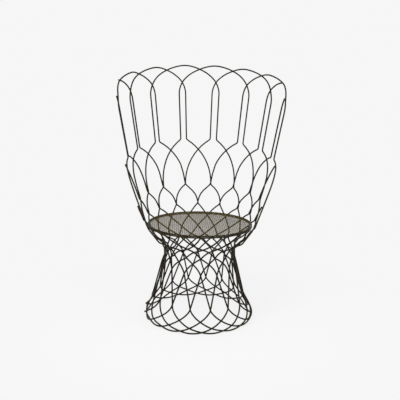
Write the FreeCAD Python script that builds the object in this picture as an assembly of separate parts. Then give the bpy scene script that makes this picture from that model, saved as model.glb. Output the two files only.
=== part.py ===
# Wire lounge chair: a shell and an hourglass base bent from one pattern of crossing rods, with a round mesh seat.
# Millimetres, +Z up. The origin is on the floor under the middle of the seat, and the sitter faces -Y.
import FreeCAD, Part
import math
import os

os.makedirs("parts", exist_ok=True)

# Driving dimensions
seat_height = 440.0          # middle of the rim that frames the seat's mesh
seat_ring_radius = 237.0     # to the middle of the rim's rod and of the ring's rod under it
foot_radius = 250.0          # to the middle of the rods at the base's widest part
ring_rod = 6.5               # diameter of the rim's rod and of the ring's rod
rod = 6.0                    # diameter of every lattice rod
clearance = 0.3              # left between two pieces that touch
count = 16                   # loops round the base, one pitch apart
leg_spread = 0.205           # half the gap between the two straight legs of a pair, in half pitches
sheet = 1.5                  # thickness of the seat's mesh
mesh_openings = 8            # openings across the seat's mesh
mesh_bar = 2.6               # width of the bars between the openings
mesh_hem = 8.5               # width of the closed strip round the mesh, where the clips hold it
clip_count = 24
clip_width = 5.0
corner_cut = 7.0             # how far from a sharp bend's middle its two corners lie
bend_limit = 28.0            # most that a rod turns at one corner, in degrees
section_sides = 8            # a rod is drawn as an eight-sided bar
ring_sides = 40              # straight runs in the rim and in the ring

half_pitch = 180.0 / count
layer = (rod + clearance) / 2.0
weld_gap = clearance / 2.0
ring_height = seat_height - ring_rod - clearance


# Levels of the pattern from the rim down to the floor
# turn: how far a rod has gone round, in half pitches from the axis of its pair
# across, deep: radii of the level's plan along X and Y; fall: how much lower the level is at the open front
def seat_level(name, turn, across, deep, up, fall):
    """A level that goes with the seat: radii beyond the seat ring's, and height above the seat."""
    return dict(name=name, turn=turn, across=seat_ring_radius + across, deep=seat_ring_radius + deep,
                height=seat_height + up, fall=fall)


def foot_level(name, turn, across, deep, height):
    """A level of the flared foot: radii beyond the foot's widest, and height above the floor."""
    return dict(name=name, turn=turn, across=foot_radius + across, deep=foot_radius + deep, height=height, fall=0.0)


LEVELS = [
    seat_level("rim", turn=-2.0, across=159.0, deep=175.0, up=715.0, fall=95.0),
    seat_level("first crossing", turn=-1.0, across=169.0, deep=202.0, up=696.0, fall=92.0),
    seat_level("second crossing", turn=0.0, across=150.0, deep=204.0, up=632.0, fall=80.0),
    seat_level("straight top", turn=leg_spread, across=142.0, deep=198.0, up=576.0, fall=76.0),
    seat_level("knee", turn=leg_spread, across=101.0, deep=153.0, up=347.0, fall=64.0),
    seat_level("high arches", turn=1.0, across=100.0, deep=133.0, up=298.0, fall=31.0),
    seat_level("low arches", turn=2.0, across=45.0, deep=94.0, up=125.0, fall=30.0),
    seat_level("petals", turn=3.0, across=18.0, deep=52.0, up=35.0, fall=22.0),
    seat_level("ring pass", turn=3.68, across=10.0, deep=12.0, up=2.0, fall=8.0),
    seat_level("under seat", turn=4.0, across=0.0, deep=5.0, up=-17.0, fall=8.0),
    seat_level("funnel", turn=5.0, across=-32.0, deep=-27.0, up=-60.0, fall=8.0),
    seat_level("low funnel", turn=6.0, across=-68.0, deep=-69.0, up=-92.0, fall=0.0),
    seat_level("waist", turn=7.0, across=-77.0, deep=-71.0, up=-108.0, fall=7.0),
    seat_level("ogive", turn=8.0, across=-76.0, deep=-55.0, up=-142.0, fall=0.0),
    seat_level("long crossing", turn=9.0, across=-65.0, deep=-45.0, up=-190.0, fall=0.0),
    foot_level("neck", turn=10.0, across=-39.0, deep=-22.0, height=105.0),
    foot_level("upper foot", turn=11.0, across=-14.0, deep=-9.0, height=55.0),
    foot_level("widest", turn=12.0, across=0.0, deep=1.0, height=28.0),
    foot_level("lower foot", turn=13.0, across=-4.0, deep=-2.0, height=10.0),
    foot_level("floor", turn=14.0, across=-6.0, deep=-3.0, height=rod / 2.0 + 0.05),
]
# Rods that end under the seat ring come down from it in a steeper funnel
STRUT_LEVELS = [
    dict(name="ring end", turn=3.15, across=seat_ring_radius, deep=seat_ring_radius,
         height=ring_height - ring_rod / 2.0 - clearance, fall=0.0),
    seat_level("under seat", turn=4.0, across=-42.0, deep=-40.0, up=-56.0, fall=0.0),
    seat_level("funnel", turn=5.0, across=-66.0, deep=-64.0, up=-79.0, fall=0.0),
]

# Runs that are straight, corners where a rod bends sharply, and where two rods come together upright before they cross
STRAIGHTS = ({"straight top", "knee"}, {"long crossing", "neck"})
CORNERS = ("knee", "low arches", "petals")
UPRIGHT = ("low arches", "petals")
LEFT, RIGHT = -1.0, 1.0


def pair_angle(number):
    """Where the axis of a pair of legs stands, in degrees round from the back of the chair."""
    return 2.0 * half_pitch * (number - 2.5)


def plan_radius(level, angle):
    """Radius of a level's oval plan at an angle from the back."""
    a = math.radians(angle)
    return 1.0 / math.hypot(math.sin(a) / level["across"], math.cos(a) / level["deep"])


def level_height(level, angle):
    return level["height"] - level["fall"] * (1.0 - math.cos(math.radians(angle)))


def station(levels, i, number, side):
    """One point of a rod as angle, radius and height. Left-going rods lie in the inner layer, right-going in the outer."""
    level = levels[i]
    angle = pair_angle(number) + side * level["turn"] * half_pitch
    radius = plan_radius(level, angle)
    height = level_height(level, angle)
    if level["name"] not in ("rim", "floor", "ring end"):
        above = levels[max(i - 1, 0)]
        below = levels[min(i + 1, len(levels) - 1)]
        fall_in = plan_radius(below, angle) - plan_radius(above, angle)
        drop = level_height(above, angle) - level_height(below, angle)
        size = math.hypot(fall_in, drop)
        radius += side * layer * drop / size
        height += side * layer * fall_in / size
    return dict(name=level["name"], angle=angle, radius=radius, height=height)


def leg(number, side, first, last="waist", levels=LEVELS):
    """Stations of one rod from a named level down to another."""
    names = [level["name"] for level in levels]
    span = range(names.index(first), names.index(last) + 1)
    return [station(levels, i, number, side) for i in span]


def to_vector(angle, radius, height):
    a = math.radians(angle)
    return FreeCAD.Vector(radius * math.sin(a), radius * math.cos(a), height)


def slopes(stations, key, lengths):
    """Slope of one coordinate just before and just after each station, along the rod's length."""
    n = len(stations)
    chord = [(stations[i + 1][key] - stations[i][key]) / lengths[i] for i in range(n - 1)]
    before = [None] * n
    after = [None] * n
    for i in range(1, n - 1):
        share = lengths[i] / (lengths[i - 1] + lengths[i])
        before[i] = after[i] = chord[i - 1] * share + chord[i] * (1.0 - share)
    for i in range(n):
        if stations[i]["name"] in CORNERS:
            before[i] = after[i] = None
    for i in range(n - 1):
        if {stations[i]["name"], stations[i + 1]["name"]} in STRAIGHTS:
            # the rod leaves and reaches this run along its line, but for a corner on the far side
            after[i] = before[i + 1] = chord[i]
            if stations[i]["name"] not in CORNERS:
                before[i] = chord[i]
            if stations[i + 1]["name"] not in CORNERS:
                after[i + 1] = chord[i]
    return chord, before, after


def bend(stations):
    """Smooth points through the stations of a rod, with more of them where it turns more."""
    points = [to_vector(s["angle"], s["radius"], s["height"]) for s in stations]
    lengths = [points[i].distanceToPoint(points[i + 1]) for i in range(len(points) - 1)]
    tables = {key: slopes(stations, key, lengths) for key in ("angle", "radius", "height")}
    path = [points[0]]
    for i in range(len(lengths)):
        here, there = stations[i], stations[i + 1]
        ends = {}
        for key in tables:
            chord, before, after = tables[key]
            start, stop = after[i], before[i + 1]
            downward = here["height"] > there["height"]
            upper, lower = (here, there) if downward else (there, here)
            if key == "angle" and lower["name"] in UPRIGHT and upper["name"] != "straight top":
                # the rod comes down into this corner upright
                if downward:
                    stop = 0.0
                else:
                    start = 0.0
            if start is None and stop is None:
                start = stop = chord[i]
            elif start is None:
                start = 2.0 * chord[i] - stop
            elif stop is None:
                stop = 2.0 * chord[i] - start
            ends[key] = (start * lengths[i], stop * lengths[i])

        def at(u):
            values = []
            for key in ("angle", "radius", "height"):
                start, stop = ends[key]
                p, q = here[key], there[key]
                values.append(
                    p * (2 * u**3 - 3 * u**2 + 1)
                    + start * (u**3 - 2 * u**2 + u)
                    + q * (3 * u**2 - 2 * u**3)
                    + stop * (u**3 - u**2)
                )
            return to_vector(*values)

        # a sharp bend is cut off by a short run, as a bending tool leaves it rounded
        first = corner_cut / lengths[i] if here["name"] in CORNERS and i > 0 else 0.0
        last = 1.0 - corner_cut / lengths[i] if there["name"] in CORNERS and i < len(lengths) - 1 else 1.0
        if first:
            path.pop()
            path.append(at(first))
        fine = [at(k / 24.0) for k in range(25)]
        steps = [fine[k + 1] - fine[k] for k in range(24)]
        turning = sum(math.degrees(steps[k].getAngle(steps[k + 1])) for k in range(23))
        spans = max(1, math.ceil(turning / bend_limit))
        path += [at(first + (last - first) * (k + 1.0) / spans) for k in range(spans)]
        if last < 1.0:
            path.append(at(1.0))
    return path


def cut_plane(number, side):
    """Direction of a rod at the waist, where the shell's rods are butt welded to the base's."""
    above = station(LEVELS, WAIST - 1, number, side)
    below = station(LEVELS, WAIST + 1, number, side)
    top = to_vector(above["angle"], above["radius"], above["height"])
    foot = to_vector(below["angle"], below["radius"], below["height"])
    return (foot - top).normalize()


def facet(corners):
    return Part.Face(Part.makePolygon(corners + corners[:1]))


def bar(path, start_plane=None, end_plane=None):
    """A rod of even section along a bent path, mitred at every bend."""
    steps = [(path[i + 1] - path[i]).normalize() for i in range(len(path) - 1)]
    across = steps[0].cross(FreeCAD.Vector(0, 0, 1)).normalize()
    up = across.cross(steps[0]).normalize()
    circumscribed = rod / 2.0 / math.cos(math.pi / section_sides) ** 0.5
    ring = []
    for k in range(section_sides):
        a = 2.0 * math.pi * (k + 0.5) / section_sides
        ring.append(path[0] + (across * math.cos(a) + up * math.sin(a)) * circumscribed)
    rings = []
    for i, point in enumerate(path):
        if i == 0:
            direction, normal = steps[0], start_plane or steps[0]
        elif i == len(path) - 1:
            direction, normal = steps[-1], end_plane or steps[-1]
        else:
            direction, normal = steps[i - 1], (steps[i - 1] + steps[i]).normalize()
        ring = [v + direction * ((point - v).dot(normal) / direction.dot(normal)) for v in ring]
        rings.append(ring)
    faces = [facet(rings[0]), facet(rings[-1])]
    for i in range(len(rings) - 1):
        for k in range(section_sides):
            m = (k + 1) % section_sides
            faces.append(facet([rings[i][k], rings[i][m], rings[i + 1][m], rings[i + 1][k]]))
    shell = Part.Shell(faces)
    shell.sewShape()
    solid = Part.Solid(shell)
    if solid.Volume < 0:
        solid.reverse()
    return solid


WAIST = [level["name"] for level in LEVELS].index("waist")


def shortened(path, start=0.0, end=0.0):
    """The same path with its ends drawn back a little."""
    out = list(path)
    out[0] = out[0] + (out[1] - out[0]).normalize() * start
    out[-1] = out[-1] + (out[-2] - out[-1]).normalize() * end
    return out


def hoop(left, right):
    """One rod from the waist up a left-going leg, over the rim and down a right-going leg."""
    rise = leg(left, LEFT, "rim")
    rise.reverse()
    path = bend(rise + leg(right, RIGHT, "rim")[1:])
    path = shortened(path, weld_gap, weld_gap)
    return bar(path, cut_plane(left, LEFT) * -1.0, cut_plane(right, RIGHT))


def open_rod(number, side, first):
    """A rod that starts at a crossing on the shell's front edge and ends at the waist."""
    path = shortened(bend(leg(number, side, first)), 0.0, weld_gap)
    return bar(path, None, cut_plane(number, side))


def strut(number, side):
    """A rod that starts under the seat ring and ends at the waist."""
    levels = STRUT_LEVELS + LEVELS[WAIST - 1:]
    path = shortened(bend(leg(number, side, "ring end", "waist", levels)), 0.0, weld_gap)
    return bar(path, FreeCAD.Vector(0, 0, -1), cut_plane(number, side))


def base_loop(number):
    """A rod from the waist down to the floor and back up, half way round the base each way."""
    half = count // 2 - 1
    fall = leg(number + half, LEFT, "waist", "floor")
    rise = leg(number - half, RIGHT, "waist", "floor")
    rise.reverse()
    # both legs are counted from the same side, so that the angle runs on through the floor
    shift = fall[-1]["angle"] - rise[0]["angle"]
    for s in rise:
        s["angle"] += shift
    path = shortened(bend(fall + rise[1:]), weld_gap, weld_gap)
    return bar(path, cut_plane(number + half, LEFT), cut_plane(number - half, RIGHT) * -1.0)


def ring_bar(radius, height, sides):
    """A closed ring of rod, drawn in straight runs."""
    rings = []
    for i in range(sides):
        a = 360.0 * i / sides
        section = []
        for k in range(section_sides):
            b = 2.0 * math.pi * (k + 0.5) / section_sides
            half = ring_rod / 2.0 / math.cos(math.pi / section_sides) ** 0.5
            section.append(to_vector(a, radius + half * math.cos(b), height + half * math.sin(b)))
        rings.append(section)
    faces = []
    for i in range(sides):
        here, there = rings[i], rings[(i + 1) % sides]
        for k in range(section_sides):
            m = (k + 1) % section_sides
            faces.append(facet([here[k], here[m], there[m], there[k]]))
    shell = Part.Shell(faces)
    shell.sewShape()
    solid = Part.Solid(shell)
    if solid.Volume < 0:
        solid.reverse()
    return solid


def save(shape, name):
    if not shape.isValid():
        raise ValueError(name + " is not a valid solid")
    shape.exportStep(os.path.join("parts", name + ".step"))
    print(name, len(shape.Solids), "solids", len(shape.Faces), "faces", round(shape.Volume), "mm3")


# Base: sixteen loops, all alike but for the slightly oval plan
for number in range(count):
    save(base_loop(number), "base_loop_%02d" % (number + 1))

# Back: six hoops whose legs cross into one another
for number in range(6):
    save(hoop(number - 1, number + 1), "back_hoop_%d" % (number + 1))

# Front edges: four rods a side, each starting one level lower than the one behind it
STARTS = ("first crossing", "second crossing", "high arches", "low arches")
for i, first in enumerate(STARTS):
    save(open_rod(5 + i, LEFT, first), "right_edge_rod_%d" % (i + 1))
    save(open_rod(-i, RIGHT, first), "left_edge_rod_%d" % (i + 1))

# Under the open front the rods end at the seat ring
for i in range(6):
    save(strut(9 + i, LEFT), "seat_strut_left_%d" % (i + 1))
    save(strut(-4 - i, RIGHT), "seat_strut_right_%d" % (i + 1))

# Seat: a ring that the rods carry, a rim that lies on it, a round sheet of mesh in the rim and clips that hold it
save(ring_bar(seat_ring_radius, ring_height, ring_sides), "seat_ring")
save(ring_bar(seat_ring_radius, seat_height, ring_sides), "seat_rim")

inner_radius = (seat_ring_radius - ring_rod / 2.0) * math.cos(math.pi / ring_sides) - clearance


def disc(radius):
    """A flat many-sided disc at the underside of the mesh."""
    return facet([to_vector(360.0 * k / ring_sides, radius, seat_height - sheet / 2.0) for k in range(ring_sides)])


def mesh_panel():
    """The round panel of mesh: a grid of square openings, cut off where they reach the closed strip at its edge."""
    open_disc = disc(inner_radius - mesh_hem)
    pitch = 2.0 * inner_radius / mesh_openings
    size = pitch - mesh_bar
    outlines = [disc(inner_radius).OuterWire]
    for i in range(mesh_openings):
        for j in range(mesh_openings):
            x = (i - mesh_openings / 2.0) * pitch + mesh_bar / 2.0
            y = (j - mesh_openings / 2.0) * pitch + mesh_bar / 2.0
            square = Part.makePlane(size, size, FreeCAD.Vector(x, y, seat_height - sheet / 2.0))
            opening = square.common(open_disc)
            if opening.Area > pitch * mesh_bar:
                outlines.append(opening.Faces[0].OuterWire)
    face = Part.makeFace(outlines, "Part::FaceMakerBullseye")
    return face.extrude(FreeCAD.Vector(0, 0, sheet))


save(mesh_panel(), "seat_mesh")

clip_thickness = 1.2
clip_length = 7.0
clips = []
for k in range(clip_count):
    low = seat_height - sheet / 2.0 - clearance - clip_thickness
    start = FreeCAD.Vector(-clip_width / 2.0, inner_radius - clip_length - 1.0, low)
    clip = Part.makeBox(clip_width, clip_length, clip_thickness, start)
    clip.rotate(FreeCAD.Vector(0, 0, 0), FreeCAD.Vector(0, 0, 1), 360.0 * (k + 0.5) / clip_count)
    clips.append(clip)
save(Part.makeCompound(clips), "seat_mesh_clips")
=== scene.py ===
# %% [markdown]
# # A wire lounge chair, dressed for a studio picture
# The chair is bent from more than forty steel rods of 6 mm that cross one another like
# basketwork: a tall shell, a narrow waist and a flared base. The seat is a flat disc of welded
# wire mesh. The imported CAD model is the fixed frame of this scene. It says where each rod runs,
# and this file gives every rod its round section, its paint and its welds.

import math

import bmesh
import bpy
from mathutils import Matrix, Vector


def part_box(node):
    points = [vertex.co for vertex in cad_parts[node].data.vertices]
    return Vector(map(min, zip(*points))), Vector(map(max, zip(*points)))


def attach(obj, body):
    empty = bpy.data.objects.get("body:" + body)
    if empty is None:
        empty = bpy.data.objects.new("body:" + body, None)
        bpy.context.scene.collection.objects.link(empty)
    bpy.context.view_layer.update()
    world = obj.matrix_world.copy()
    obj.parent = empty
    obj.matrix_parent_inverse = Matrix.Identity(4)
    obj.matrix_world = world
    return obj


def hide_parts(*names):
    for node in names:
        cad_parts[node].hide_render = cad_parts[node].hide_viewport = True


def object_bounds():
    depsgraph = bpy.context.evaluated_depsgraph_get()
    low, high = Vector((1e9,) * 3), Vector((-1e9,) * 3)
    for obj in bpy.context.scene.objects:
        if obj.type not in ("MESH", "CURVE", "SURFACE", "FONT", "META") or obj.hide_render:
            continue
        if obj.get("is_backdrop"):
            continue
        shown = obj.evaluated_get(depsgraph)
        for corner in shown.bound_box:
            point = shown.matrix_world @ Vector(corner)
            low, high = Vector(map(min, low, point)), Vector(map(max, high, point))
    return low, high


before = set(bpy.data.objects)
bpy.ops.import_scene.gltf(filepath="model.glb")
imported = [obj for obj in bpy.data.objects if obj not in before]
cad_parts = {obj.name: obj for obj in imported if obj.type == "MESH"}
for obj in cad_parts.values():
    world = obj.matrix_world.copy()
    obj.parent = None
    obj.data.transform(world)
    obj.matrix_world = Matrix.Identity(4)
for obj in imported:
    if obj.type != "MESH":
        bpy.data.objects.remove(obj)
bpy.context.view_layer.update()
bpy.context.scene.view_settings.view_transform = "Standard"

# %% [markdown]
# ## Camera
# The picture was taken from the front, a little to the left of the chair's middle, from about
# the height of the back's top and looking down. The focal length and the place were found by
# fitting the crossings of the rods. Setting the camera from a forward, a side and an up vector
# keeps the small roll exact, which is harder to do with Euler angles.

# %% Camera
camera_place = Vector((-0.1154, -2.7886, 1.1227))
turned = math.radians(2.34)        # to the right of straight on
pitched = math.radians(11.61)      # down
rolled = math.radians(1.13)        # anticlockwise
LENS = 56.07                       # focal length, millimetres
SENSOR = 36.0                      # width of the sensor, millimetres

level_reach = math.cos(pitched)
forward = Vector((math.sin(turned) * level_reach, math.cos(turned) * level_reach, -math.sin(pitched)))
side = forward.cross(Vector((0.0, 0.0, 1.0))).normalized()
up = side.cross(forward).normalized()
turn = Matrix.Rotation(rolled, 3, -forward)
side = turn @ side
up = turn @ up

camera_data = bpy.data.cameras.new("camera")
camera_data.lens = LENS
camera_data.sensor_width = SENSOR
camera = bpy.data.objects.new("camera", camera_data)
bpy.context.scene.collection.objects.link(camera)
axes = Matrix((side, up, -forward)).transposed().to_4x4()
camera.matrix_world = Matrix.Translation(camera_place) @ axes
bpy.context.scene.camera = camera
print("camera", round(camera_data.lens, 1), "mm at", [round(v, 2) for v in camera_place])

# %% [markdown]
# ## Surround
# An even pale surround. A light path node tells whether a ray comes from the camera, or by way
# of a reflection or a see-through surface: such rays find the pale tone. For all others the
# surround is a weaker lamp, so that the dark paint keeps its colour.

# %% World
PALE = (0.922, 0.922, 0.922, 1.0)        # tone of the background, seen by the camera
SKY = (0.9, 0.92, 0.95, 1.0)             # colour of the surround as a lamp
SKY_STRENGTH = 0.56

world = bpy.data.worlds.new("studio")
bpy.context.scene.world = world
world.use_nodes = True
nodes, links = world.node_tree.nodes, world.node_tree.links
nodes.clear()
path = nodes.new("ShaderNodeLightPath")
seen = nodes.new("ShaderNodeMath")
seen.operation = "MAXIMUM"
through = nodes.new("ShaderNodeMath")
through.operation = "MAXIMUM"
links.new(path.outputs["Is Camera Ray"], seen.inputs[0])
links.new(path.outputs["Is Transmission Ray"], seen.inputs[1])
links.new(seen.outputs[0], through.inputs[0])
links.new(path.outputs["Is Glossy Ray"], through.inputs[1])
lamp_side = nodes.new("ShaderNodeBackground")
lamp_side.inputs["Color"].default_value = SKY
lamp_side.inputs["Strength"].default_value = SKY_STRENGTH
shown_side = nodes.new("ShaderNodeBackground")
shown_side.inputs["Color"].default_value = PALE
shown_side.inputs["Strength"].default_value = 1.0
either = nodes.new("ShaderNodeMixShader")
links.new(through.outputs[0], either.inputs["Fac"])
links.new(lamp_side.outputs[0], either.inputs[1])
links.new(shown_side.outputs[0], either.inputs[2])
out = nodes.new("ShaderNodeOutputWorld")
links.new(either.outputs[0], out.inputs["Surface"])
print("world lights at", SKY_STRENGTH)

# %% [markdown]
# ## Lamps
# Two large square lamps. The key stands high on the left and gives the rods a thin highlight
# along their upper left side. The fill on the right is weaker and a little cooler. Large lamps
# make soft shadows, which suits a studio picture.

# %% Lamps
def soft_lamp(name, place, aim, size, power, colour):
    """A square area lamp that faces a point."""
    data = bpy.data.lights.new(name, "AREA")
    data.size = size
    data.energy = power
    data.color = colour
    lamp = bpy.data.objects.new(name, data)
    backward = Vector(place) - Vector(aim)
    facing = backward.to_track_quat("Z", "Y").to_matrix().to_4x4()
    lamp.matrix_world = Matrix.Translation(place) @ facing
    bpy.context.scene.collection.objects.link(lamp)
    return lamp


MIDDLE = (0.0, 0.0, 0.6)                 # what both lamps face, the middle of the chair
LAMP_SIZE = 2.4                          # metres from edge to edge

soft_lamp("key_lamp", (-2.2, -2.4, 3.2), MIDDLE, LAMP_SIZE, 150.0, (1.0, 0.98, 0.95))
soft_lamp("fill_lamp", (2.8, -1.6, 2.0), MIDDLE, LAMP_SIZE, 60.0, (0.95, 0.97, 1.0))

# %% [markdown]
# ## Floor
# A wide pale disc. Near the chair it is partly a lit surface, so that it takes the chair's soft
# shadow, and further out it fades into the tone of the background. Only the camera sees the
# even tone: every other ray meets the lit surface.

# %% Floor
FLOOR_RADIUS = 40.0
FLOOR_COLOUR = (0.90, 0.90, 0.90, 1.0)
FADE_FROM = 0.35                         # metres from the chair's middle
FADE_TO = 1.15
EVEN_SHARE = 0.87                        # share of the even tone near the chair

mesh = bpy.data.meshes.new("floor")
bm = bmesh.new()
bmesh.ops.create_circle(bm, cap_ends=True, segments=96, radius=FLOOR_RADIUS)
bm.to_mesh(mesh)
bm.free()
floor = bpy.data.objects.new("floor", mesh)
bpy.context.scene.collection.objects.link(floor)

pale_floor = bpy.data.materials.new("pale_floor")
pale_floor.use_nodes = True
nodes, links = pale_floor.node_tree.nodes, pale_floor.node_tree.links
nodes.clear()
path = nodes.new("ShaderNodeLightPath")
lit = nodes.new("ShaderNodeBsdfDiffuse")
lit.inputs["Color"].default_value = FLOOR_COLOUR
even = nodes.new("ShaderNodeEmission")
even.inputs["Color"].default_value = PALE
even.inputs["Strength"].default_value = 1.0
place = nodes.new("ShaderNodeTexCoord")
far = nodes.new("ShaderNodeVectorMath")
far.operation = "LENGTH"
links.new(place.outputs["Object"], far.inputs[0])
fade = nodes.new("ShaderNodeMapRange")
fade.interpolation_type = "SMOOTHSTEP"
fade.inputs["From Min"].default_value = FADE_FROM
fade.inputs["From Max"].default_value = FADE_TO
fade.inputs["To Min"].default_value = EVEN_SHARE
links.new(far.outputs["Value"], fade.inputs["Value"])
share = nodes.new("ShaderNodeMath")
share.operation = "MULTIPLY"
links.new(path.outputs["Is Camera Ray"], share.inputs[0])
links.new(fade.outputs["Result"], share.inputs[1])
blend = nodes.new("ShaderNodeMixShader")
links.new(share.outputs[0], blend.inputs["Fac"])
links.new(lit.outputs[0], blend.inputs[1])
links.new(even.outputs[0], blend.inputs[2])
out = nodes.new("ShaderNodeOutputMaterial")
links.new(blend.outputs[0], out.inputs["Surface"])
mesh.materials.append(pale_floor)
floor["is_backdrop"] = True
print("floor", round(floor.dimensions.x), "m across")

# %% [markdown]
# ## Paint
# One shared node group makes every painted rod: a warm near-black, a little lighter in soft
# patches, with a painted highlight that makes the tops paler and warmer as if lit from above,
# and a fine orange-peel bump. Fine specks lift the colour where the coat has worn thin. The
# group puts out a colour, a roughness and a normal, and each material adds its own shader to them.

# %% Paint group
DARK_COAT = (0.0062, 0.0048, 0.0016, 1.0)
LIGHT_COAT = (0.0140, 0.0110, 0.0042, 1.0)
# Painted highlight: a paler warm colour for the tops of the rods, standing in for the light from above.
TOP_LIGHT = (0.040, 0.032, 0.015, 1.0)
WORN = (0.060, 0.050, 0.030, 1.0)
PATCH_SCALE = 9.0                        # noise scales, in turns per metre
SPECK_SCALE = 420.0
PEEL_SCALE = 900.0


def new_group(name, outputs):
    """An empty node group with the named colour, value or vector outputs."""
    group = bpy.data.node_groups.new(name, "ShaderNodeTree")
    for label, kind in outputs:
        group.interface.new_socket(name=label, in_out="OUTPUT", socket_type=kind)
    return group, group.nodes, group.links


OUTPUTS = [("Color", "NodeSocketColor"), ("Roughness", "NodeSocketFloat"), ("Normal", "NodeSocketVector")]
group, nodes, links = new_group("rod_paint", OUTPUTS)
place = nodes.new("ShaderNodeTexCoord")
patches = nodes.new("ShaderNodeTexNoise")
patches.inputs["Scale"].default_value = PATCH_SCALE
patches.inputs["Detail"].default_value = 4.0
links.new(place.outputs["Object"], patches.inputs["Vector"])
specks = nodes.new("ShaderNodeTexNoise")
specks.inputs["Scale"].default_value = SPECK_SCALE
specks.inputs["Detail"].default_value = 3.0
links.new(place.outputs["Object"], specks.inputs["Vector"])
coat = nodes.new("ShaderNodeValToRGB")
coat.color_ramp.elements[0].position = 0.35
coat.color_ramp.elements[0].color = DARK_COAT
coat.color_ramp.elements[1].position = 0.70
coat.color_ramp.elements[1].color = LIGHT_COAT
links.new(patches.outputs["Fac"], coat.inputs["Fac"])
thin = nodes.new("ShaderNodeValToRGB")
thin.color_ramp.elements[0].position = 0.66
thin.color_ramp.elements[0].color = (0.0, 0.0, 0.0, 1.0)
thin.color_ramp.elements[1].position = 0.74
thin.color_ramp.elements[1].color = (1.0, 1.0, 1.0, 1.0)
links.new(specks.outputs["Fac"], thin.inputs["Fac"])
facing = nodes.new("ShaderNodeNewGeometry")
split = nodes.new("ShaderNodeSeparateXYZ")
links.new(facing.outputs["Normal"], split.inputs["Vector"])
# Painted highlight: faces that point up get up to about a third of the paler warm colour, as if lit from
# above.
top_light_mask = nodes.new("ShaderNodeMapRange")
top_light_mask.inputs["From Min"].default_value = 0.55
top_light_mask.inputs["From Max"].default_value = 1.0
top_light_mask.inputs["To Max"].default_value = 0.35
links.new(split.outputs["Z"], top_light_mask.inputs["Value"])
# Mixes the painted highlight into the coat on the tops of the rods.
coat_with_top_light = nodes.new("ShaderNodeMix")
coat_with_top_light.data_type = "RGBA"
coat_with_top_light.inputs["B"].default_value = TOP_LIGHT
links.new(top_light_mask.outputs["Result"], coat_with_top_light.inputs["Factor"])
links.new(coat.outputs["Color"], coat_with_top_light.inputs["A"])
worn = nodes.new("ShaderNodeMix")
worn.data_type = "RGBA"
worn.inputs["B"].default_value = WORN
links.new(thin.outputs["Color"], worn.inputs["Factor"])
links.new(coat_with_top_light.outputs["Result"], worn.inputs["A"])
gloss = nodes.new("ShaderNodeMapRange")
gloss.inputs["From Min"].default_value = 0.3
gloss.inputs["From Max"].default_value = 0.7
gloss.inputs["To Min"].default_value = 0.34
gloss.inputs["To Max"].default_value = 0.50
links.new(patches.outputs["Fac"], gloss.inputs["Value"])
peel = nodes.new("ShaderNodeTexNoise")
peel.inputs["Scale"].default_value = PEEL_SCALE
peel.inputs["Detail"].default_value = 2.0
links.new(place.outputs["Object"], peel.inputs["Vector"])
bump = nodes.new("ShaderNodeBump")
bump.inputs["Strength"].default_value = 0.18
bump.inputs["Distance"].default_value = 0.0003
links.new(peel.outputs["Fac"], bump.inputs["Height"])
out = nodes.new("NodeGroupOutput")
links.new(worn.outputs["Result"], out.inputs["Color"])
links.new(gloss.outputs["Result"], out.inputs["Roughness"])
links.new(bump.outputs["Normal"], out.inputs["Normal"])
print("group", group.name, "with", len(nodes), "nodes")

# %% [markdown]
# ## Paint materials
# The rods, the ring, the seat's wire, the welds and the clips share the coat. Each material
# mixes in its own share of a paler khaki. The wire of the seat has the most, which makes it
# paler and warmer than the rods. The gloss is weak and warm, as on an old satin coat.

# %% Materials
KHAKI = (0.140, 0.103, 0.030, 1.0)
GLOSS = 0.13
GLOSS_TINT = (1.0, 0.86, 0.60, 1.0)


def painted(name, lift):
    """A painted-steel material. lift mixes in a paler khaki, which makes the coat paler and warmer."""
    material = bpy.data.materials.new(name)
    material.use_nodes = True
    nodes, links = material.node_tree.nodes, material.node_tree.links
    shader = nodes["Principled BSDF"]
    coat = nodes.new("ShaderNodeGroup")
    coat.node_tree = bpy.data.node_groups["rod_paint"]
    links.new(coat.outputs["Roughness"], shader.inputs["Roughness"])
    links.new(coat.outputs["Normal"], shader.inputs["Normal"])
    pale = nodes.new("ShaderNodeMix")
    pale.data_type = "RGBA"
    pale.inputs["Factor"].default_value = lift
    pale.inputs["B"].default_value = KHAKI
    links.new(coat.outputs["Color"], pale.inputs["A"])
    links.new(pale.outputs["Result"], shader.inputs["Base Color"])
    shader.inputs["Specular IOR Level"].default_value = GLOSS
    shader.inputs["Specular Tint"].default_value = GLOSS_TINT
    return material


rod_paint = painted("rod_paint", 0.0)
ring_paint = painted("ring_paint", 0.02)
wire_paint = painted("wire_paint", 0.40)
weld_paint = painted("weld_paint", 0.04)
clip_paint = painted("clip_paint", 0.12)
print("materials", [m.name for m in bpy.data.materials])

# %% [markdown]
# ## Where each rod runs
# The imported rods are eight-sided bars with a mitred ring of corners at every bend. Merging the
# loose triangles and dissolving the flat edges leaves one octagon per bend. Their centres, taken
# from one end cap to the other, are the points through which the round rod runs.

# %% Read a rod's line
SIDES = 8                                # corners of a packed rod's section
MERGE = 2e-5                             # metres, corners nearer than this are one
FLAT = 0.0008                            # radians, edges flatter than this lie inside a face


def rod_line(node):
    """Centres of the bends of a packed rod, from one end to the other."""
    bm = bmesh.new()
    bm.from_mesh(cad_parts[node].data)
    bmesh.ops.remove_doubles(bm, verts=bm.verts, dist=MERGE)
    flat = [e for e in bm.edges if len(e.link_faces) == 2 and e.calc_face_angle(0.0) < FLAT]
    bmesh.ops.dissolve_edges(bm, edges=flat, use_verts=False, use_face_split=False)
    caps = [f for f in bm.faces if len(f.verts) == SIDES]
    ring = list(caps[0].verts)
    seen = set(ring)
    line = []
    while ring:
        line.append(sum((v.co for v in ring), Vector()) / len(ring))
        near = [e.other_vert(v) for v in ring for e in v.link_edges]
        ring = list(dict.fromkeys(v for v in near if v not in seen))
        seen.update(ring)
    bm.free()
    return line


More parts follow.
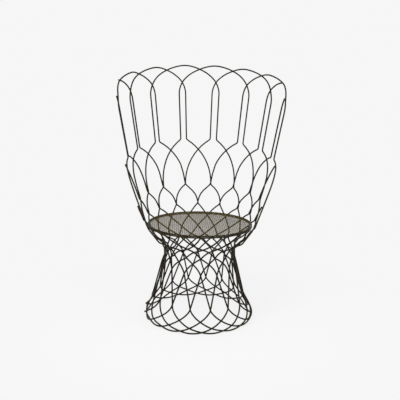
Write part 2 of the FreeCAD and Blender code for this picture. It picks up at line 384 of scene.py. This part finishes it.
ROUND_THE_SEAT = ("seat_ring", "seat_rim", "seat_mesh", "seat_mesh_clips")
rod_nodes = sorted(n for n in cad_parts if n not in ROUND_THE_SEAT)
lines = {node: rod_line(node) for node in rod_nodes}
print(len(lines), "rods,", sum(len(line) for line in lines.values()), "bends")

# %% [markdown]
# ## Round rods
# A rod is one circle, extruded from plane to plane along a smooth line through its bends. Each
# plane stands square to the line there, so the section stays round in the bends. Points go closer
# together where the rod turns more. Long runs stay straight, and the short runs that cut across
# a sharp bend become its rounded inside.

# %% Sweep a round rod
ROD = 0.0035                             # radius of a lattice rod with its coat, metres
AROUND = 10                              # sides of a round rod
CORNER_RUN = 0.016                       # a run across a sharp bend is shorter than this
CORNER_SHARE = 0.75                      # and shorter than this share of its neighbours
STRAIGHT_SHARE = 2.2                     # a run this much longer than its neighbour is straight
TURN_STEP = math.radians(7.0)            # turn from one plane of a rod to the next


def corner_piece(points, i):
    """True where the run after point i is a short cut across a sharp bend."""
    if i < 1 or i + 2 >= len(points):
        return False
    here = (points[i + 1] - points[i]).length
    before = (points[i] - points[i - 1]).length
    after = (points[i + 2] - points[i + 1]).length
    return here < CORNER_RUN and here < CORNER_SHARE * min(before, after)


def mirrored(direction, chord):
    """The direction at the other end of an even curve over a chord."""
    axis = chord.normalized()
    return (axis * (2.0 * direction.dot(axis)) - direction).normalized()


def tangents(points):
    """Direction of the line at each point. Beside a corner it comes from the even curve on the far side."""
    n = len(points)
    runs = [points[i + 1] - points[i] for i in range(n - 1)]
    corner = [corner_piece(points, i) for i in range(n - 1)]
    out = [None] * n
    for i in range(1, n - 1):
        back, on = runs[i - 1], runs[i]
        if corner[i - 1] or corner[i]:
            continue
        if back.length > STRAIGHT_SHARE * on.length:
            out[i] = back.normalized()
        elif on.length > STRAIGHT_SHARE * back.length:
            out[i] = on.normalized()
        else:
            out[i] = (back.normalized() / back.length + on.normalized() / on.length).normalized()
    for i in range(n):
        if out[i] is None:
            forward_side = i == 0 or (i < n - 1 and corner[i - 1])
            other, chord = (i + 1, runs[i]) if forward_side else (i - 1, runs[i - 1])
            out[i] = chord.normalized() if out[other] is None else mirrored(out[other], chord)
    return out


def smooth_line(points):
    """A finer line through the same points, straight in the long runs and even in the bends."""
    directions = tangents(points)
    fine = [points[0]]
    for i in range(len(points) - 1):
        p, q = points[i], points[i + 1]
        length = (q - p).length
        start, stop = directions[i] * length, directions[i + 1] * length
        swing = start.angle(q - p) + stop.angle(q - p)
        cuts = max(1, math.ceil(swing / TURN_STEP))
        for k in range(1, cuts + 1):
            u = k / cuts
            fine.append(p * (2 * u**3 - 3 * u**2 + 1) + start * (u**3 - 2 * u**2 + u)
                        + q * (3 * u**2 - 2 * u**3) + stop * (u**3 - u**2))
    return fine


def sweep(points, radius, around):
    """A closed round bar along a line of points, as a bmesh."""
    bm = bmesh.new()
    steps = [(b - a).normalized() for a, b in zip(points, points[1:])]
    squares = [(a + b).normalized() for a, b in zip(steps, steps[1:])] + [steps[-1]]
    turn = steps[0].to_track_quat("Z", "X").to_matrix().to_4x4()
    made = bmesh.ops.create_circle(bm, cap_ends=True, segments=around, radius=radius,
                                   matrix=Matrix.Translation(points[0]) @ turn)
    edges = list(dict.fromkeys(e for v in made["verts"] for e in v.link_edges))
    direction = steps[0]
    for start, stop, square in zip(points, points[1:], squares):
        grown = bmesh.ops.extrude_edge_only(bm, edges=edges)["geom"]
        new = [g for g in grown if isinstance(g, bmesh.types.BMVert)]
        edges = [g for g in grown if isinstance(g, bmesh.types.BMEdge) and set(g.verts) <= set(new)]
        bend = direction.rotation_difference(square).to_matrix().to_4x4()
        shift = Matrix.Translation(stop) @ bend @ Matrix.Translation(-start)
        bmesh.ops.transform(bm, matrix=shift, verts=new)
        direction = square
    bmesh.ops.contextual_create(bm, geom=edges)
    bmesh.ops.recalc_face_normals(bm, faces=bm.faces)
    return bm


test = sweep(smooth_line(lines[rod_nodes[0]]), ROD, AROUND)
print("one rod has", len(test.faces), "faces;", "open edges", sum(e.is_boundary for e in test.edges))
test.free()

# %% [markdown]
# ## From a bmesh to a piece
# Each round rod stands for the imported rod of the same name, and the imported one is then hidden.
# The chair has no moving part, so every piece rides on the one body, called root. Faces are
# shaded smooth, but for edges where two faces meet at a sharp angle.

# %% Make the rods
def keep(bm, name, material, slot, *nodes):
    """Turns a bmesh into a shaded object that stands for CAD nodes and rides on the body."""
    mesh = bpy.data.meshes.new(name)
    bm.to_mesh(mesh)
    bm.free()
    mesh.materials.append(material)
    piece = bpy.data.objects.new(name, mesh)
    bpy.context.scene.collection.objects.link(piece)
    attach(piece, "root")
    if nodes:
        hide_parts(*nodes)
    return piece


def shade(bm, sharp=math.radians(40.0)):
    """Smooth faces, with creases kept where two faces meet at more than the given angle."""
    for face in bm.faces:
        face.smooth = True
    for edge in bm.edges:
        edge.smooth = not (len(edge.link_faces) == 2 and edge.calc_face_angle(0.0) > sharp)


faces = 0
for node in rod_nodes:
    bm = sweep(smooth_line(lines[node]), ROD, AROUND)
    shade(bm)
    faces += len(bm.faces)
    keep(bm, "round_" + node, rod_paint, "painted_rod", node)
print(len(rod_nodes), "round rods with", faces, "faces")

# %% [markdown]
# ## Ring and rim
# Two round rods bent into full circles. The lower one, the ring, carries the struts; the upper
# one, the rim, lies on it and frames the seat's mesh. Each closes with a small butt weld.

# %% Ring and rim
RING = 0.00325                           # radius of the ring's rod and of the rim's
SEAM_HALF = 0.0022                       # half the length of the butt weld that closes a ring
SEAM_OVER = 1.18                         # radius of that weld, by the rod's


def round_ring(radius, height, thick, steps=160, around=12):
    """A full circle of round rod: a small circle spun about the vertical."""
    bm = bmesh.new()
    place = Matrix.Translation((0.0, radius, height)) @ Matrix.Rotation(math.radians(90.0), 4, "Y")
    made = bmesh.ops.create_circle(bm, segments=around, radius=thick, matrix=place)
    edges = list(dict.fromkeys(e for v in made["verts"] for e in v.link_edges))
    bmesh.ops.spin(bm, geom=made["verts"] + edges, cent=(0.0, 0.0, 0.0), axis=(0.0, 0.0, 1.0),
                   angle=math.tau, steps=steps, use_merge=True)
    bmesh.ops.recalc_face_normals(bm, faces=bm.faces)
    return bm


def ring_place(node):
    """Radius and height of a packed ring's middle."""
    low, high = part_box(node)
    return (high.y - low.y) / 2.0 - RING, (high.z + low.z) / 2.0


for node in ("seat_ring", "seat_rim"):
    radius, height = ring_place(node)
    bm = round_ring(radius, height, RING)
    bulge = Matrix.Diagonal((SEAM_HALF, RING * SEAM_OVER, RING * SEAM_OVER, 1.0))
    seam = Matrix.Translation((0.0, radius, height)) @ bulge
    bmesh.ops.create_uvsphere(bm, u_segments=12, v_segments=8, radius=1.0, matrix=seam)
    shade(bm)
    keep(bm, "round_" + node, ring_paint, "painted_ring", node)
    print(node, "radius", round(radius, 4), "height", round(height, 4))

# %% [markdown]
# ## Seat mesh
# Welded mesh of 1.5 mm wire at a 9 mm pitch. Wires from side to side lie on those that run from
# front to back, and each is cut where it meets the hem, a thicker wire bent round the edge.

# %% Wires
PITCH = 0.009                            # from wire to wire
WIRE = 0.00075                           # radius of a wire
HEM = 0.0012                             # radius of the wire round the edge
RAISED = 0.0004                          # how far the mesh lies above the middle of its sheet

low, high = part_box("seat_mesh")
mesh_height = (low.z + high.z) / 2.0 + RAISED
mesh_radius = (high.y - low.y) / 2.0 - HEM


def straight_wire(bm, start, stop, radius, around=6):
    """Adds one straight round wire between two points."""
    along = stop - start
    place = Matrix.Translation((start + stop) / 2.0) @ along.to_track_quat("Z", "Y").to_matrix().to_4x4()
    bmesh.ops.create_cone(bm, cap_ends=True, segments=around, radius1=radius, radius2=radius,
                          depth=along.length, matrix=place)


bm = bmesh.new()
half = int(mesh_radius / PITCH)
for k in range(-half, half + 1):
    offset = k * PITCH
    reach = math.sqrt(mesh_radius**2 - offset**2)
    for quarter, rise in ((0.0, WIRE), (math.pi / 2.0, -WIRE)):
        swing = Matrix.Rotation(quarter, 3, "Z")
        lift = Vector((0.0, 0.0, mesh_height + rise))
        start = swing @ Vector((-reach, offset, 0.0)) + lift
        stop = swing @ Vector((reach, offset, 0.0)) + lift
        straight_wire(bm, start, stop, WIRE)
shade(bm)
wires = len(bm.faces)
hem = round_ring(mesh_radius, mesh_height, HEM, steps=128, around=8)
shade(hem)
scratch = bpy.data.meshes.new("hem")
hem.to_mesh(scratch)
hem.free()
bm.from_mesh(scratch)
bpy.data.meshes.remove(scratch)
keep(bm, "seat_wire_mesh", wire_paint, "seat_mesh_sheet", "seat_mesh")
print("mesh wires", 2 * (2 * half + 1), "faces", wires)

# %% [markdown]
# ## Clips
# Small steel tabs under the mesh hold its edge. Each is a strip with rounded corners whose outer
# end turns up beside the rim, so that from above it shows as a dark tooth along the edge.

# %% Clips
COUNT = 24
TAB = Vector((0.0050, 0.0070, 0.0011))   # width, length and thickness of a tab
LIP = Vector((TAB.x, TAB.z, 0.0042))     # the end that turns up
LIP_RISE = 0.0013                        # middle of that end above the tab
INSET = 0.0002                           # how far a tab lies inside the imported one
EDGE = 0.0003                            # rounding of its edges

low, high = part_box("seat_mesh_clips")
tab_radius = high.y - TAB.y / 2.0 - INSET
lip_radius = tab_radius + TAB.y / 2.0 - TAB.z / 2.0
tab_place = Matrix.Translation((0.0, tab_radius, (low.z + high.z) / 2.0))
lip_place = Matrix.Translation((0.0, lip_radius, high.z + LIP_RISE))
bm = bmesh.new()
for k in range(COUNT):
    swing = Matrix.Rotation(-math.tau * (k + 0.5) / COUNT, 4, "Z")
    for size, place in ((TAB, tab_place), (LIP, lip_place)):
        box = swing @ place @ Matrix.Diagonal((*size, 1.0))
        bmesh.ops.create_cube(bm, size=1.0, matrix=box)
bmesh.ops.bevel(bm, geom=bm.edges[:], offset=EDGE, segments=2, profile=0.5, affect="EDGES", material=-1)
shade(bm, math.radians(60.0))
keep(bm, "bent_clips", clip_paint, "mesh_clips", "seat_mesh_clips")
print(COUNT, "clips")

# %% [markdown]
# ## Welds
# Rods are joined end to end at the waist, and their free ends are welded to the rod or ring that
# they meet. Each weld is a low bead, a little wider than the rod and stretched along it.

# %% Weld beads
BEAD = ROD * 1.10                        # radius of a bead
BEAD_REACH = BEAD * 1.15                 # half its length along the rod

bm = bmesh.new()
for node in rod_nodes:
    line = lines[node]
    for end, inner in ((line[0], line[1]), (line[-1], line[-2])):
        along = (inner - end).normalized()
        place = Matrix.Translation(end) @ along.to_track_quat("Z", "Y").to_matrix().to_4x4()
        stretch = Matrix.Diagonal((BEAD, BEAD, BEAD_REACH, 1.0))
        bmesh.ops.create_uvsphere(bm, u_segments=10, v_segments=7, radius=1.0, matrix=place @ stretch)
shade(bm)
print("weld beads with", len(bm.faces), "faces")
keep(bm, "weld_beads", weld_paint, "painted_rod")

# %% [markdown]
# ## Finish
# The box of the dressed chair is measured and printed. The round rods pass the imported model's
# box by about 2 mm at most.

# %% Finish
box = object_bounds()
print("dressed box", [[round(v, 3) for v in corner] for corner in box])
